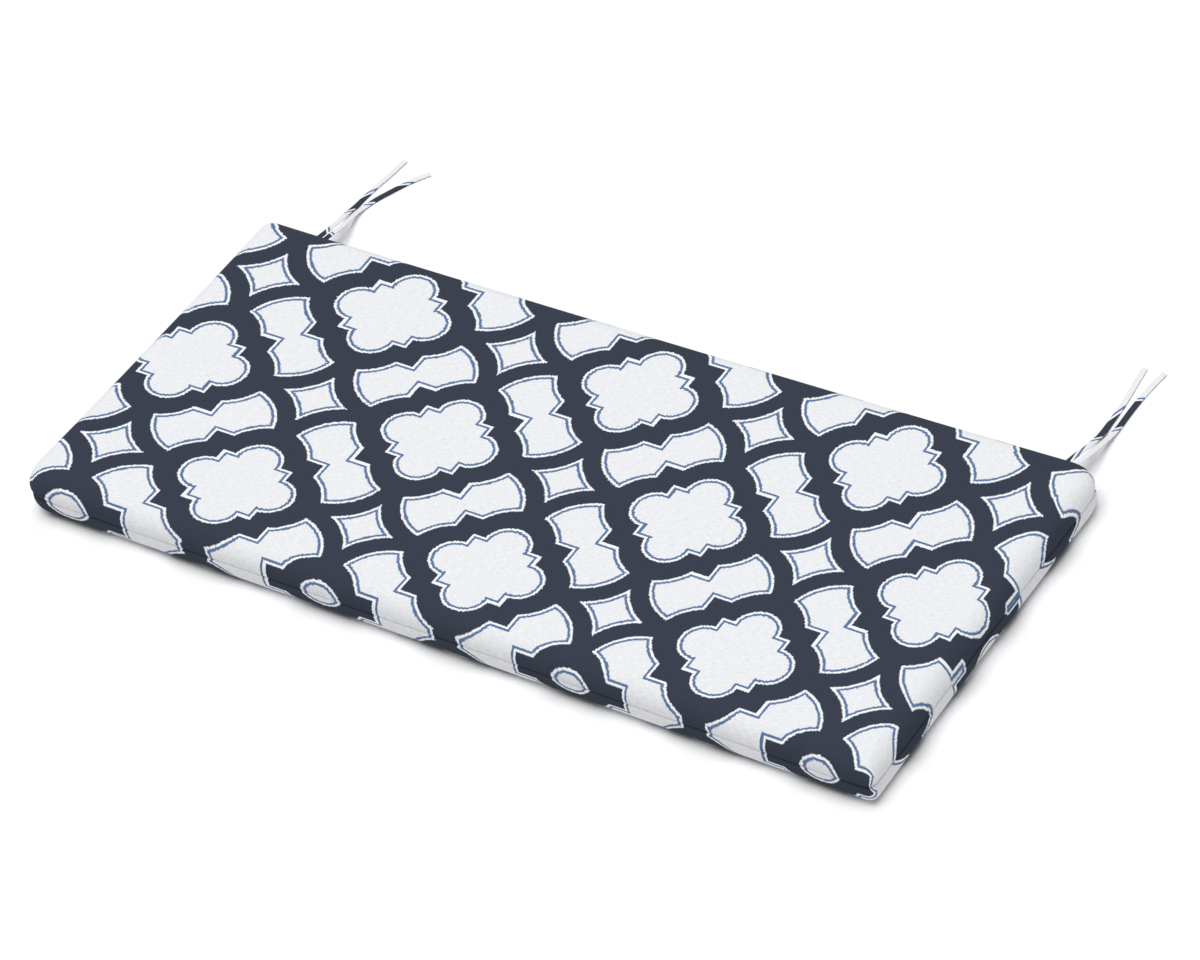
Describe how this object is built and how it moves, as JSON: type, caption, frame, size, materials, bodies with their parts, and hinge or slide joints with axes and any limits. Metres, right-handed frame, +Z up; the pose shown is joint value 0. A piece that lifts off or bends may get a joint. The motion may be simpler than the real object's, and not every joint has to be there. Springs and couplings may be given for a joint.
{
  "type": "bench cushion",
  "caption": "Filled bench cushion in printed canvas, with rounded, drawn-in sides, a plain seam at mid height and flat ties in its back seam.",
  "frame": {"origin": "on the surface it lies on, under the middle of the cushion", "axes": "+X along the long sides, +Y towards the back seam with the ties, +Z up out of the top panel"},
  "size_m": [1.0666, 0.6425, 0.0579],
  "materials": {
    "canvas": "matt printed canvas",
    "tie_canvas": "matt printed canvas tape"
  },
  "bodies": {
    "root": {"cushion": "canvas", "tie_left_outer": "tie_canvas", "tie_left_inner": "tie_canvas", "tie_right_inner": "tie_canvas", "tie_right_outer": "tie_canvas"}
  },
  "joints": []
}
